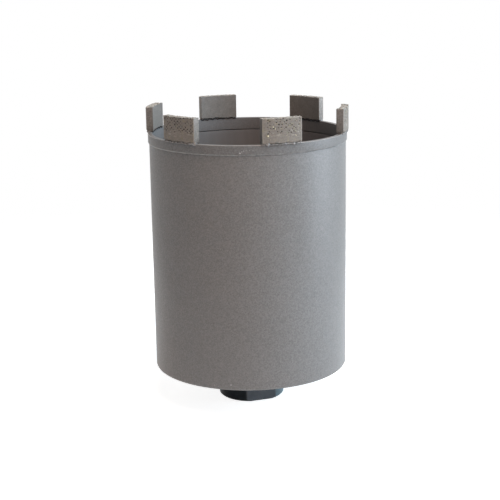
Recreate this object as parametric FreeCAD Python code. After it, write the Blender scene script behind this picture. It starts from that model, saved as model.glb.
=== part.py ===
# Diamond core bit: a thin steel barrel that stands on its threaded drive hub, with the cutting crown on top.
# Millimetres and degrees. +Z runs up the axis of rotation, and the origin is the centre of the hub's open end.
# The first cutting segment and one of the two wrench flats face -Y.

import FreeCAD
import Part

import os

# Cutting segments
drill_diameter = 122.6
segment_count = 6
segment_length = 24.0
segment_thickness = 4.5
segment_height = 14.5
segment_corner = 0.4
segment_free_cut_outside = 1.05
segment_free_cut_inside = 0.7
segment_foot_bevel = 0.5
foot_height = 0.5
foot_setback = 0.4

# Crown ring, which carries the segments and laps into the barrel
ring_height = 6.0
ring_step = 0.65
ring_rim_chamfer = 0.2
ring_spigot_length = 1.8
ring_spigot_chamfer = 0.5
lap_clearance = 0.05
lap_end_gap = 0.2

# Barrel
barrel_length = 139.5
barrel_wall = 2.0
barrel_foot_chamfer = 0.8

# End plate, let into the barrel's lower end and welded round its edge
plate_thickness = 6.0
plate_seat_step = 0.5
plate_clearance = 0.05
plate_weld_groove = 0.7
plate_weld_crown = 0.35
plate_edge_chamfer = 0.4

# Drive hub with a 1 1/4 inch, 7 turns to the inch, internal thread
thread_major = 31.75
thread_pitch = 25.4 / 7
thread_depth_share = 1.0825
thread_countersink = 0.75
hub_flat_wall = 2.125
hub_flat_depth = 2.25
hub_flat_height = 15.0
hub_shoulder = 2.25
hub_drop = 21.5
hub_end_chamfer = 0.9
hub_collar_chamfer = 0.6
hub_rise = 2.5
hub_fit_clearance = 0.05
hub_weld_leg = 2.0
hub_weld_sag = 0.3

# Radii that follow from those sizes
segment_outer_radius = drill_diameter / 2
segment_inner_radius = segment_outer_radius - segment_thickness
ring_radius = segment_outer_radius - segment_free_cut_outside
ring_bore_radius = segment_inner_radius + segment_free_cut_inside
barrel_radius = ring_radius - ring_step
barrel_bore_radius = barrel_radius - barrel_wall
lap_radius = (barrel_radius + ring_bore_radius) / 2
plate_seat_radius = barrel_bore_radius + plate_seat_step
plate_radius = plate_seat_radius - plate_clearance
wrench_size = thread_major + 2 * hub_flat_wall
hub_radius = wrench_size / 2 + hub_flat_depth
hub_spigot_radius = hub_radius - hub_shoulder
thread_radius = (thread_major - thread_depth_share * thread_pitch) / 2
countersink_radius = (thread_major + thread_countersink) / 2
plate_hole_radius = hub_spigot_radius + hub_fit_clearance

# Levels along the axis, from the hub's open end
barrel_foot = hub_drop
plate_top = barrel_foot + plate_thickness
hub_top = plate_top + hub_rise
barrel_top = barrel_foot + barrel_length
ring_top = barrel_top + ring_height
segment_base = ring_top + foot_height
segment_top = segment_base + segment_height

axis_start = FreeCAD.Vector(0, 0, 0)
axis_up = FreeCAD.Vector(0, 0, 1)

# How far a cutting shape runs past what it cuts, and how nearly upright an edge has to be
cut_margin = 1.0
angle_tolerance = 0.001


def turned(outline):
    """A solid of revolution about Z from a closed outline of (radius, height) points or edges."""
    edges = []
    for here, there in zip(outline, outline[1:] + outline[:1]):
        start = FreeCAD.Vector(here[0], 0, here[1])
        end = FreeCAD.Vector(there[0], 0, there[1])
        if len(here) == 3:
            # The third value bulges the edge to the left of its direction, as the arc's height
            middle = (start + end) / 2
            along = (end - start).normalize()
            across = FreeCAD.Vector(-along.z, 0, along.x)
            edges.append(Part.Arc(start, middle + across * here[2], end).toShape())
        else:
            edges.append(Part.LineSegment(start, end).toShape())
    face = Part.Face(Part.Wire(edges))
    return face.revolve(axis_start, axis_up, 360)


def is_upright(edge):
    """Whether a straight edge runs along the axis."""
    direction = edge.tangentAt(edge.FirstParameter)
    return direction.cross(axis_up).Length < angle_tolerance


def make_barrel():
    """The thin tube, with a seat for the end plate below and a half-lap socket for the crown ring above."""
    socket_floor = barrel_top - ring_spigot_length - lap_end_gap
    return turned([
        (plate_seat_radius, barrel_foot + plate_weld_groove),
        (plate_seat_radius + plate_weld_groove, barrel_foot),
        (barrel_radius - barrel_foot_chamfer / 2, barrel_foot),
        (barrel_radius, barrel_foot + barrel_foot_chamfer),
        (barrel_radius, barrel_top),
        (lap_radius, barrel_top),
        (lap_radius, socket_floor),
        (barrel_bore_radius, socket_floor),
        (barrel_bore_radius, plate_top),
        (plate_seat_radius, plate_top),
    ])


def make_crown_ring():
    """The ring that carries the segments: full wall above, a spigot below and a bevel down to the barrel."""
    spigot_foot = barrel_top - ring_spigot_length
    spigot_radius = lap_radius - lap_clearance
    spigot_chamfer = min(ring_spigot_chamfer, (spigot_radius - ring_bore_radius) / 2)
    return turned([
        (ring_bore_radius + spigot_chamfer, spigot_foot),
        (spigot_radius, spigot_foot),
        (spigot_radius, barrel_top),
        (barrel_radius, barrel_top),
        (ring_radius, barrel_top + ring_step),
        (ring_radius, ring_top - ring_rim_chamfer),
        (ring_radius - ring_rim_chamfer, ring_top),
        (ring_bore_radius + ring_rim_chamfer, ring_top),
        (ring_bore_radius, ring_top - ring_rim_chamfer),
        (ring_bore_radius, spigot_foot + spigot_chamfer),
    ])


def make_end_plate():
    """The disc that closes the barrel, bored for the hub's spigot and bevelled for its weld."""
    return turned([
        (plate_hole_radius, barrel_foot),
        (plate_radius - plate_weld_groove, barrel_foot),
        (plate_radius, barrel_foot + plate_weld_groove),
        (plate_radius, plate_top),
        (plate_hole_radius + plate_edge_chamfer, plate_top),
        (plate_hole_radius, plate_top - plate_edge_chamfer),
    ])


def make_plate_weld():
    """The bead that fills the groove between the end plate and the barrel, slightly proud of both."""
    return turned([
        (plate_radius, barrel_foot + plate_weld_groove),
        (plate_radius - plate_weld_groove, barrel_foot, -plate_weld_crown),
        (plate_seat_radius + plate_weld_groove, barrel_foot),
        (plate_seat_radius, barrel_foot + plate_weld_groove),
    ])


def make_drive_hub():
    """The turned hub: chamfered end, collar under the plate, spigot through it, bore for the thread, two flats."""
    mouth = countersink_radius - thread_radius
    hub = turned([
        (countersink_radius, 0),
        (hub_radius - hub_end_chamfer, 0),
        (hub_radius, hub_end_chamfer),
        (hub_radius, hub_drop - hub_collar_chamfer),
        (hub_radius - hub_collar_chamfer, hub_drop),
        (hub_spigot_radius, hub_drop),
        (hub_spigot_radius, hub_top),
        (countersink_radius, hub_top),
        (thread_radius, hub_top - mouth),
        (thread_radius, mouth),
    ])
    flat_cutter = Part.makeBox(2 * hub_radius, hub_flat_depth + cut_margin, hub_flat_height + cut_margin)
    flat_cutter.translate(FreeCAD.Vector(-hub_radius, wrench_size / 2, -cut_margin))
    for turn in (0, 180):
        side = flat_cutter.copy()
        side.rotate(axis_start, axis_up, turn)
        hub = hub.cut(side)
    return hub


def make_hub_weld():
    """The fillet bead round the hub's spigot, run into the chamfered hole on the end plate's inner face."""
    return turned([
        (hub_spigot_radius, plate_top - plate_edge_chamfer),
        (plate_hole_radius, plate_top - plate_edge_chamfer),
        (plate_hole_radius + plate_edge_chamfer, plate_top),
        (hub_spigot_radius + hub_weld_leg, plate_top, hub_weld_sag),
        (hub_spigot_radius, plate_top + hub_weld_leg),
    ])


def arc_block(outline, length):
    """The stretch of a turned ring that faces -Y, cut off by two parallel ends."""
    reach = segment_outer_radius + cut_margin
    keeper = Part.makeBox(length, reach, segment_top)
    keeper.translate(FreeCAD.Vector(-length / 2, -reach, 0))
    return turned(outline).common(keeper)


def make_segment(turn):
    """One curved cutting segment with parallel ends, on the narrower foot that is welded to the crown ring."""
    block = arc_block([
        (segment_inner_radius, segment_base),
        (segment_outer_radius - segment_foot_bevel, segment_base),
        (segment_outer_radius, segment_base + segment_foot_bevel),
        (segment_outer_radius, segment_top),
        (segment_inner_radius, segment_top),
    ], segment_length)
    uprights = [edge for edge in block.Edges if is_upright(edge)]
    block = block.makeFillet(segment_corner, uprights)
    foot_inner = ring_bore_radius + ring_rim_chamfer
    foot_outer = ring_radius - ring_rim_chamfer
    foot = arc_block([
        (foot_inner, ring_top),
        (foot_outer, ring_top),
        (foot_outer, segment_base),
        (foot_inner, segment_base),
    ], segment_length - 2 * foot_setback)
    segment = block.fuse(foot)
    segment.rotate(axis_start, axis_up, turn)
    return segment


def checked(name, shape):
    """The shape as one valid closed solid, or an error that names the piece."""
    solids = shape.Solids
    if len(solids) != 1:
        raise ValueError(name + " came out as " + str(len(solids)) + " solids")
    solid = solids[0]
    if solid.Volume < 0:
        solid.reverse()
    if not solid.isValid() or not solid.isClosed():
        raise ValueError(name + " is not a valid closed solid")
    return solid


def main():
    pieces = {
        "barrel": make_barrel(),
        "crown_ring": make_crown_ring(),
        "end_plate": make_end_plate(),
        "plate_weld": make_plate_weld(),
        "drive_hub": make_drive_hub(),
        "hub_weld": make_hub_weld(),
    }
    for index in range(segment_count):
        pieces["segment_" + str(index + 1)] = make_segment(index * 360 / segment_count)

    os.makedirs("parts", exist_ok=True)
    for name, shape in pieces.items():
        solid = checked(name, shape)
        solid.exportStep("parts/" + name + ".step")
        print(name, "volume", round(solid.Volume / 1000, 2), "cm3")


main()
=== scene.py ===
import math
from types import SimpleNamespace

import bmesh
import bpy
from mathutils import Matrix, Vector


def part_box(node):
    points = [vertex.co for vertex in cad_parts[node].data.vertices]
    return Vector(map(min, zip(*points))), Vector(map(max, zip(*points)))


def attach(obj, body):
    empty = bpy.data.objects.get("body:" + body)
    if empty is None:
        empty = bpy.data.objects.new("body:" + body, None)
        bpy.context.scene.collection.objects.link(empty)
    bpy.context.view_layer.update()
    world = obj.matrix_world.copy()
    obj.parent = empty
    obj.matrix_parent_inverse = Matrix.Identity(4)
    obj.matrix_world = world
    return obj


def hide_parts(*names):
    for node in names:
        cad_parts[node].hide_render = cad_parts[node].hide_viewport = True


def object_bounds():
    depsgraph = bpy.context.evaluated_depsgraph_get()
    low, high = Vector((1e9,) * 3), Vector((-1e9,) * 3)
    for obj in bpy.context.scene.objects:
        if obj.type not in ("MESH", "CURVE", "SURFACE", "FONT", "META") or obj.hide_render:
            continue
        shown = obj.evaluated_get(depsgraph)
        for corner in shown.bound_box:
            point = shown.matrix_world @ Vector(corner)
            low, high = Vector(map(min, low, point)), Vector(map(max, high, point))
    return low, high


# A diamond core bit that stands on its drive hub, crown upwards, in metres.
# Every size that the frame holds is read from it; the rest is in one dictionary beside each piece.

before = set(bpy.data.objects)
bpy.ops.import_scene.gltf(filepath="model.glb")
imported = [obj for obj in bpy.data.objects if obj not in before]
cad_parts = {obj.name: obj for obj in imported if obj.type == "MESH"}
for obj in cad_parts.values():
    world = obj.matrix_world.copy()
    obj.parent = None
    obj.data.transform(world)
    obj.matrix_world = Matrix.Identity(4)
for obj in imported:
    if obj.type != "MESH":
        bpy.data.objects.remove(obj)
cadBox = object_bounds()
print("frame loaded with", len(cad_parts), "nodes")

mm = 0.001
tiny = 1e-6    # points closer than this are one point
fullTurn = 2 * math.pi
body = "root"

barrelLow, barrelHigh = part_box("barrel")
ringLow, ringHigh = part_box("crown_ring")
plateLow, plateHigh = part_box("end_plate")
hubLow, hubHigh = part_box("drive_hub")
segmentLow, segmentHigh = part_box("segment_1")


# Node helpers

class nodeValue:
    # what a node puts out, to be reckoned with like a number
    def __init__(self, socket):
        self.socket = socket
        self.tree = socket.id_data

    def __add__(self, other):
        return calc("ADD", self, other)

    def __sub__(self, other):
        return calc("SUBTRACT", self, other)

    def __rsub__(self, other):
        return calc("SUBTRACT", other, self)

    def __mul__(self, other):
        return calc("MULTIPLY", self, other)

    def __neg__(self):
        return calc("MULTIPLY", self, -1.0)

    def __truediv__(self, other):
        return calc("DIVIDE", self, other)

    def __rtruediv__(self, other):
        return calc("DIVIDE", other, self)

    def __pow__(self, other):
        return calc("POWER", self, other)

    def __abs__(self):
        return calc("ABSOLUTE", self)

    def __lt__(self, other):
        return calc("LESS_THAN", self, other)

    def __gt__(self, other):
        return calc("GREATER_THAN", self, other)


def treeOf(*values):
    # the tree of the first node value among these
    return next(value.tree for value in values if isinstance(value, nodeValue))


def findSocket(sockets, key):
    # by number, or by name among the sockets in use
    if isinstance(key, int):
        return sockets[key]
    for socket in sockets:
        if socket.enabled and socket.name == key:
            return socket
    raise KeyError(key)


def addNode(tree, kind, inputs=None, **options):
    # an input takes a fixed value, a node value or a list of them; returns what the node puts out, by name
    node = tree.nodes.new(kind)
    for option, value in options.items():
        setattr(node, option, value)
    for key, value in (inputs or {}).items():
        socket = findSocket(node.inputs, key)
        if isinstance(value, nodeValue):
            tree.links.new(value.socket, socket)
        elif isinstance(value, list):
            for item in value:
                tree.links.new(item.socket, socket)
        else:
            socket.default_value = value
    return {socket.name: nodeValue(socket) for socket in node.outputs if socket.enabled}


def calc(operation, *values):
    return addNode(treeOf(*values), "ShaderNodeMath", dict(enumerate(values)), operation=operation)["Value"]


def vectorCalc(operation, *values):
    made = addNode(treeOf(*values), "ShaderNodeVectorMath", dict(enumerate(values)), operation=operation)
    return list(made.values())[0]


def scaled(vector, factor):
    inputs = {0: vector, "Scale": factor}
    return addNode(treeOf(vector, factor), "ShaderNodeVectorMath", inputs, operation="SCALE")["Vector"]


def largest(first, *others):
    for other in others:
        first = calc("MAXIMUM", first, other)
    return first


def remap(value, fromLow, fromHigh, toLow=0.0, toHigh=1.0, curve="LINEAR"):
    inputs = {"Value": value, "From Min": fromLow, "From Max": fromHigh, "To Min": toLow, "To Max": toHigh}
    return addNode(value.tree, "ShaderNodeMapRange", inputs, interpolation_type=curve)["Result"]


def split(vector):
    return addNode(vector.tree, "ShaderNodeSeparateXYZ", {"Vector": vector})


def joinAxes(x, y, z=0.0):
    return addNode(treeOf(x, y, z), "ShaderNodeCombineXYZ", {"X": x, "Y": y, "Z": z})["Vector"]


def reach(across, along):
    # how far apart, from two distances at right angles
    return vectorCalc("LENGTH", joinAxes(across, along))


def blend(factor, first, second, kind="FLOAT"):
    inputs = {"Factor": factor, "A": first, "B": second}
    return addNode(factor.tree, "ShaderNodeMix", inputs, data_type=kind)["Result"]


def blendColour(factor, first, second):
    return blend(factor, first, second, "RGBA")


def noise(place, perMetre, detail=2.0, roughness=0.5, seed=None):
    inputs = {"Vector": place, "Scale": perMetre, "Detail": detail, "Roughness": roughness}
    if seed is None:
        return addNode(place.tree, "ShaderNodeTexNoise", inputs)["Fac"]
    return addNode(place.tree, "ShaderNodeTexNoise", {**inputs, "W": seed}, noise_dimensions="4D")["Fac"]


def noiseAt(place, size, detail=2.0, roughness=0.5, seed=0.0):
    # noise whose lumps are about size across
    return noise(place, 1.0 / size, detail, roughness, seed)


def cellsAt(place, perMetre):
    # irregular cells: the distance from each one's middle, and three random shares of its own
    cells = addNode(place.tree, "ShaderNodeTexVoronoi", {"Vector": place, "Scale": perMetre})
    return cells["Distance"], addNode(place.tree, "ShaderNodeSeparateColor", {"Color": cells["Color"]})


def newGroup(name, kind, inputs, outputs):
    # an input is given by its usual value, and one that has none by its kind
    group = bpy.data.node_groups.new(name, kind)
    for way, labels in (("INPUT", inputs), ("OUTPUT", outputs)):
        for label, value in labels.items():
            sort = {int: "Int", float: "Float", tuple: "Vector", str: value}[type(value)]
            if sort == "Vector" and len(value) == 4:
                sort = "Color"
            socket = group.interface.new_socket(name=label, in_out=way, socket_type="NodeSocket" + sort)
            if not isinstance(value, str):
                socket.default_value = value
    return group, addNode(group, "NodeGroupInput")


def finish(tree, results):
    addNode(tree, "NodeGroupOutput", results)
    return tree


# Shader groups

def objectPlace(tree):
    return addNode(tree, "ShaderNodeTexCoord")["Object"]


def facing(tree):
    # the way that the surface looks, as X, Y and Z
    return split(addNode(tree, "ShaderNodeNewGeometry")["Normal"])


def marked(tree, name):
    # a value that the mesh carries
    return addNode(tree, "ShaderNodeAttribute", attribute_name=name)["Fac"]


def newEffect(name, inputs, *outputs):
    # a group that puts out numbers, and a colour if it is named so
    kinds = {label: "Color" if label == "Colour" else "Float" for label in outputs}
    tree, given = newGroup(name, "ShaderNodeTree", inputs, kinds)
    return tree, given, objectPlace(tree)


def placed(tree, group, inputs):
    # a group in a material, with its own values
    return addNode(tree, "ShaderNodeGroup", inputs, node_tree=group)


def makeFlakeGroup():
    # metallic paint: small flakes of uneven brightness, and wide soft clouds
    tree, given, place = newEffect("flakePaint", {
        "Paint": (0.2, 0.2, 0.2, 1),
        "Flake Size": 0.5 * mm,
        "Flake Contrast": 0.2,
        "Cloud Contrast": 0.05,
        "Metal Share": 0.2,
    }, "Colour", "Metal", "Height")
    perMetre = 1.0 / given["Flake Size"]
    share = cellsAt(place, perMetre)[1]
    grain = share["Red"] * 0.5 + noise(place, perMetre * 1.05) * 0.9
    byFlake = (grain - 0.7) * given["Flake Contrast"]
    byCloud = (noiseAt(place, 30 * mm, 3.0) - 0.5) * given["Cloud Contrast"]
    return finish(tree, {
        "Colour": scaled(given["Paint"], byFlake + byCloud + 1.0),
        "Metal": share["Green"] ** 2.0 * given["Metal Share"],
        "Height": grain,
    })


def makeWearGroup():
    # where paint or skin is rubbed off: along edges that the mesh marks, broken up by noise
    tree, given, place = newEffect("edgeWear", {
        "Patch Size": 2 * mm,
        "Amount": 0.5,
        "Crispness": 0.1,
    }, "Mask")
    rub = (noise(place, 1.0 / given["Patch Size"], 5.0) * 0.8 + marked(tree, "edge")) * given["Amount"]
    least = 0.6
    return finish(tree, {"Mask": remap(rub, least, given["Crispness"] + least, curve="SMOOTHSTEP")})


def makeSpotGroup():
    # one small chip, speck or spot with a ragged outline, at a place on the piece
    tree, given, place = newEffect("smallSpot", {
        "Centre": (0, 0, 0),
        "Radius": 1 * mm,
        "Ragged": 0.5 * mm,
        "Strength": 1.0,
    }, "Mask")
    biteSize = 0.7 * mm
    softEdge = 1.35    # where the spot has faded out, as a share of its radius
    bite = (noise(place, 1 / biteSize) - 0.5) * given["Ragged"]
    away = vectorCalc("DISTANCE", place, given["Centre"]) + bite
    fade = remap(away, given["Radius"], given["Radius"] * softEdge, given["Strength"], 0.0, "SMOOTHSTEP")
    return finish(tree, {"Mask": fade})


def makeLatheGroup():
    # fine rings left by the turning tool, on faces and round walls alike
    tree, given, place = newEffect("turnedLines", {"Spacing": 0.3 * mm}, "Height")
    axes = split(place)
    travel = reach(axes["X"], axes["Y"]) + axes["Z"]
    inputs = {"W": travel / given["Spacing"], "Scale": 1.0, "Detail": 3.0}
    return finish(tree, {"Height": addNode(tree, "ShaderNodeTexNoise", inputs, noise_dimensions="1D")["Fac"]})


def makeDustGroup():
    # dull film that gathers on faces that look up, in uneven patches
    tree, given, place = newEffect("dustFilm", {"Amount": 0.3, "Patch Size": 12 * mm}, "Mask")
    upward = remap(facing(tree)["Z"], 0.1, 1.0, 0.15, 1.0)
    patches = remap(noise(place, 1.0 / given["Patch Size"], 4.0), 0.35, 0.7)
    return finish(tree, {"Mask": patches * upward * given["Amount"]})


def makeTintGroup():
    # heat colours beside a weld: blue, brown and straw as bands away from its height and radius
    tree, given, place = newEffect("heatTint", {
        "Seam Radius": 18 * mm,
        "Seam Height": 27.5 * mm,
        "Spread": 3 * mm,
    }, "Colour", "Mask")
    blue = (0.16, 0.19, 0.28, 1)
    brown = (0.30, 0.17, 0.13, 1)
    straw = (0.55, 0.43, 0.26, 1)
    axes = split(place)
    across = reach(axes["X"], axes["Y"]) - given["Seam Radius"]
    away = reach(across, axes["Z"] - given["Seam Height"]) + noiseAt(place, 5 * mm) * (1.5 * mm)
    share = away / given["Spread"]
    colour = addNode(tree, "ShaderNodeValToRGB", {"Fac": share})["Color"]
    stops = colour.socket.node.color_ramp.elements
    stops[0].color = blue
    stops[1].color = straw
    stops.new(0.45).color = brown
    return finish(tree, {"Colour": colour, "Mask": remap(share, 0.5, 1.2, 1.0, 0.0, "SMOOTHSTEP")})


def makeGrainGroup():
    # sintered metal powder: grains of uneven brightness with a fine rough height
    tree, given, place = newEffect("sinteredGrain", {
        "Grain Size": 0.3 * mm,
        "Contrast": 0.3,
    }, "Shade", "Height")
    perMetre = 1.0 / given["Grain Size"]
    fromMiddle, share = cellsAt(place, perMetre)
    fine = noise(place, perMetre * 0.35, 6.0, 0.65)
    grain = share["Red"] * 0.4 + fine * 1.2
    return finish(tree, {
        "Shade": (grain - 0.8) * given["Contrast"] + 1.0,
        "Height": fromMiddle * -0.5 + fine,
    })


flakePaint = makeFlakeGroup()
edgeWear = makeWearGroup()
smallSpot = makeSpotGroup()
turnedLines = makeLatheGroup()
dustFilm = makeDustGroup()
heatTint = makeTintGroup()
sinteredGrain = makeGrainGroup()
print("shader groups built")


# Materials

def emptyTree(owner):
    owner.use_nodes = True
    owner.node_tree.nodes.clear()
    return owner.node_tree


def newMaterial(name):
    material = bpy.data.materials.new(name)
    return material, emptyTree(material)


def dressed(material, inputs):
    # ends a material with its shader
    tree = material.node_tree
    shader = addNode(tree, "ShaderNodeBsdfPrincipled", inputs)["BSDF"]
    addNode(tree, "ShaderNodeOutputMaterial", {"Surface": shader})
    return material


def paintOf(tree, colour, flakeSize, flakeContrast, cloudContrast, metalShare):
    return placed(tree, flakePaint, {
        "Paint": colour, "Flake Size": flakeSize, "Flake Contrast": flakeContrast,
        "Cloud Contrast": cloudContrast, "Metal Share": metalShare})


def wearOf(tree, patchSize, amount, crispness):
    return placed(tree, edgeWear, {"Patch Size": patchSize, "Amount": amount, "Crispness": crispness})["Mask"]


def dustOf(tree, amount, patchSize):
    return placed(tree, dustFilm, {"Amount": amount, "Patch Size": patchSize})["Mask"]


def bumpOf(height, distance, strength):
    inputs = {"Height": height, "Distance": distance, "Strength": strength}
    return addNode(height.tree, "ShaderNodeBump", inputs)["Normal"]


canPaintLook = {
    "paint": (0.198, 0.188, 0.183, 1),
    "ringPaint": (0.173, 0.165, 0.161, 1),
    "flakeSize": 0.62 * mm,
    "flakeContrast": (0.64, 0.42),    # in front, and on the +X side, where weaker grain is a painted sheen for the key light
    "cloudContrast": 0.10,
    "metalShare": 0.15,
    "roughness": (0.43, 0.47),
    "chipColour": (0.62, 0.60, 0.58, 1),
    "bareMetal": (0.42, 0.40, 0.38, 1),
    "dust": (0.45, 0.43, 0.40, 1),
    "dustShare": 0.10,
    "edgeRub": 0.62,
    # place, radius, raggedness and strength of the chips and specks that show, in mm
    "spots": [
        ((-23.8, -55.4, 162.7), 0.34, 0.4, 0.9),
        ((-22.9, -55.7, 163.4), 0.22, 0.5, 0.6),
        ((-20.6, -56.6, 164.3), 0.18, 0.3, 0.5),
        ((-18.7, -57.3, 164.2), 0.16, 0.4, 0.4),
        ((-16.9, -57.8, 164.1), 0.16, 0.4, 0.5),
        ((-21.8, -56.1, 163.9), 0.20, 0.5, 0.55),
        ((-19.6, -56.9, 163.8), 0.13, 0.4, 0.4),
        ((-38.7, -45.3, 23.9), 0.22, 0.2, 0.6),
        ((-30.5, -51.2, 24.8), 0.30, 0.2, 0.8),
        ((-42.9, -41.4, 24.5), 0.16, 0.2, 0.4),
        ((-36.9, -46.8, 23.4), 0.16, 0.2, 0.5),
    ],
}


def makeCanPaint(name, look):
    material, tree = newMaterial(name)
    place = objectPlace(tree)
    # painted sheen: faces that look towards +X get weaker flakes, as if the key light's sheen washed them out
    contrast = remap(facing(tree)["X"], 0.0, 0.9, *look["flakeContrast"])
    paint = paintOf(tree, look["paint"], look["flakeSize"], contrast,
                    look["cloudContrast"], look["metalShare"])
    rubbed = wearOf(tree, 3 * mm, look["edgeRub"], 0.35)
    dust = dustOf(tree, look["dustShare"], 25 * mm)
    spots = largest(*[placed(tree, smallSpot, {
        "Centre": tuple(value * mm for value in centre), "Radius": radius * mm, "Ragged": ragged * mm,
        "Strength": strength})["Mask"] for centre, radius, ragged, strength in look["spots"]])
    colour = blendColour(rubbed, paint["Colour"], look["bareMetal"])
    colour = blendColour(dust, colour, look["dust"])
    peel = noiseAt(place, 1.6 * mm)
    return dressed(material, {
        "Base Color": blendColour(spots, colour, look["chipColour"]),
        "Metallic": paint["Metal"],
        "Roughness": remap(noiseAt(place, 6 * mm, 3.0), 0.3, 0.7, *look["roughness"]),
        "Specular IOR Level": 0.42,
        "Normal": bumpOf(paint["Height"] + peel * 0.6 - spots * 1.5, 0.011 * mm, 0.8),
    })


boreLook = {
    "steel": (0.172, 0.160, 0.158),
    "overspray": (0.208, 0.196, 0.194, 1),
    "oversprayDepth": 9 * mm,
    "fadeLength": 4 * mm,
    "unevenness": 5 * mm,
    "streakStretch": (1.0, 1.0, 0.12),
    "roughness": 0.62,
}


def makeBoreSteel(look):
    # the inside of the tube: bare rolled steel under a thin, uneven drift of paint that fades downwards
    material, tree = newMaterial("boreSteel")
    place = objectPlace(tree)
    drift = ringHigh.z - split(place)["Z"] + noiseAt(place, 7 * mm, 4.0) * look["unevenness"]
    start = look["oversprayDepth"]
    covered = remap(drift, start, start + look["fadeLength"], 1.0, 0.0, "SMOOTHSTEP")
    streaks = noiseAt(vectorCalc("MULTIPLY", place, look["streakStretch"]), 3 * mm, 4.0)
    steel = scaled(look["steel"], remap(streaks, 0.3, 0.7, 0.95, 1.05))
    paint = paintOf(tree, look["overspray"], 0.6 * mm, 0.3, 0.15, 0.1)["Colour"]
    return dressed(material, {
        "Base Color": blendColour(covered, steel, paint),
        "Roughness": look["roughness"],
        "Specular IOR Level": 0.3,
        "Normal": bumpOf(streaks, 0.03 * mm, 0.6),
    })


plateLook = {
    "paint": (0.150, 0.145, 0.140, 1),
    "dust": (0.40, 0.38, 0.35, 1),
    "dustShare": 0.45,
    "tintShare": 0.5,
    "seamInset": 2.25 * mm,    # the hub's weld, from the hub's outside
    "roughness": 0.5,
    "lineSpacing": 0.35 * mm,
}


def makePlatePaint(look):
    material, tree = newMaterial("platePaint")
    paint = paintOf(tree, look["paint"], 0.55 * mm, 0.3, 0.2, 0.2)
    tint = placed(tree, heatTint, {
        "Seam Radius": hubHigh.x - look["seamInset"], "Seam Height": plateHigh.z, "Spread": 6 * mm})
    dust = dustOf(tree, look["dustShare"], 14 * mm)
    lines = placed(tree, turnedLines, {"Spacing": look["lineSpacing"]})["Height"]
    colour = blendColour(tint["Mask"] * look["tintShare"], paint["Colour"], tint["Colour"])
    return dressed(material, {
        "Base Color": blendColour(dust, colour, look["dust"]),
        "Metallic": paint["Metal"],
        "Roughness": look["roughness"],
        "Specular IOR Level": 0.45,
        "Normal": bumpOf(lines + paint["Height"] * 0.4, 0.03 * mm, 0.7),
    })


hubLook = {
    "skin": (0.034, 0.038, 0.044, 1),
    # pale and the sheen values: a painted sheen, the skin turning paler from -X to +X where the key light
    # falls
    "pale": (0.25, 0.32, 0.345, 1),
    "milled": (0.108, 0.117, 0.129, 1),
    "bareSteel": (0.30, 0.31, 0.32, 1),
    "roughness": (0.34, 0.46),
    "lineSpacing": 0.22 * mm,
    "edgeRub": 0.56,
    "sheenFrom": -19 * mm,
    "sheenTo": 17 * mm,
    "sheenCurve": 1.7,
    "flatMetal": 0.35,
}


def makeHubSteel(look):
    # blackened steel: a thin dark skin over turned marks, rubbed bright on its corners and in the thread, and
    # a painted sheen that turns it paler towards +X, where the key light falls
    material, tree = newMaterial("hubSteel")
    place = objectPlace(tree)
    flat = marked(tree, "flat")
    rubbed = wearOf(tree, 2.2 * mm, look["edgeRub"], 0.3)
    lines = placed(tree, turnedLines, {"Spacing": look["lineSpacing"]})["Height"]
    clouds = noiseAt(place, 5 * mm, 5.0, 0.6)
    # painted sheen: paler towards +X, where the light falls
    sheenShare = remap(split(place)["X"], look["sheenFrom"], look["sheenTo"])
    turned = blendColour(sheenShare ** look["sheenCurve"], look["skin"], look["pale"])
    skin = scaled(blendColour(flat, turned, look["milled"]), remap(clouds, 0.3, 0.7, 0.85, 1.15))
    return dressed(material, {
        "Base Color": blendColour(rubbed, skin, look["bareSteel"]),
        "Metallic": largest(rubbed, flat * look["flatMetal"]),
        "Roughness": remap(clouds, 0.3, 0.7, *look["roughness"]),
        "Specular IOR Level": 0.05,
        "Normal": bumpOf(lines + clouds * 0.5, 0.025 * mm, 0.7),
    })


weldLook = {
    "metal": (0.25, 0.24, 0.235, 1),
    "scale": (0.12, 0.105, 0.095, 1),
    "metallic": (0.75, 0.2),
    "roughness": (0.28, 0.55),
}


def makeWeldSteel(look):
    # weld metal: bright where it froze clean, brown and grey where scale stayed on it
    material, tree = newMaterial("weldSteel")
    place = objectPlace(tree)
    scale = remap(noiseAt(place, 2.5 * mm, 5.0, 0.6), 0.42, 0.62)
    return dressed(material, {
        "Base Color": blendColour(scale, look["metal"], look["scale"]),
        "Metallic": remap(scale, 0.0, 1.0, *look["metallic"]),
        "Roughness": remap(scale, 0.0, 1.0, *look["roughness"]),
        "Normal": bumpOf(noiseAt(place, 0.5 * mm, 4.0), 0.05 * mm, 0.7),
    })


sinterLook = {
    "matrix": (0.226, 0.194, 0.167, 1),
    "inner": (0.246, 0.220, 0.200, 1),
    # pit and pitDark: the pits are painted nearly black, a painted shade inside them
    "pit": (0.035, 0.028, 0.022, 1),
    "crumb": (0.58, 0.54, 0.48, 1),
    "topPale": 0.55,
    "rimPale": 0.22,
    "speckDark": 0.75,
    "pitDark": 0.95,
    "olive": (0.30, 0.27, 0.15, 1),
    "oliveShare": 0.55,
    "grainSize": 0.34 * mm,
    "grainContrast": 0.50,
    "endContrast": 1.0,
    "cloudContrast": 0.18,
    # painted shade on the ends: at the bottom, and at the top
    "endShade": (0.86, 1.26),
    "dragLines": 0.40,
    "dragHeight": 5.5 * mm,
    "dragStretch": 0.12,
    "dragRadius": 61.0 * mm,
    "roughness": 0.62,
}


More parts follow.
